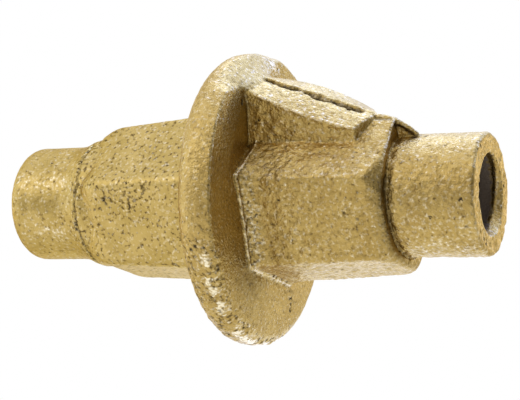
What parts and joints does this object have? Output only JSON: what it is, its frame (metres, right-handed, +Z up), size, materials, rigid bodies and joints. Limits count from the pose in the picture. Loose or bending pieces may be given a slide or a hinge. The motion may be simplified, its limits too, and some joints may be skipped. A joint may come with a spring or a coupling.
{
  "type": "tie rod water stop",
  "caption": "Cast water stop: a sealing disc between hexagonal bosses, with a blind rope-threaded socket at each end for formwork tie rods.",
  "frame": {"origin": "half way between the two ends, on the rod axis", "axes": "+X along the rod axis towards the end with the gusset, +Z up through the gusset, +Y completes a right-handed frame; the casting's parting plane is Y = 0"},
  "size_m": [0.1122, 0.065, 0.065],
  "materials": {
    "rough_gold_casting": "sand-cast ductile iron with a rough grainy skin, yellow zinc passivated to a dull gold",
    "smooth_gold_casting": "smoother cast skin with scattered dark pinholes, yellow zinc passivated to a satin gold",
    "dark_bore_casting": "rough core-cast surface at the bottom of the sockets, thinly plated and dark"
  },
  "bodies": {
    "root": {"stop_disc": "rough_gold_casting", "centre_web": "dark_bore_casting", "left_threaded_sleeve": "smooth_gold_casting", "right_threaded_sleeve": "rough_gold_casting", "left_hex_boss": "smooth_gold_casting", "right_hex_boss": "rough_gold_casting", "top_gusset": "rough_gold_casting"}
  },
  "joints": []
}
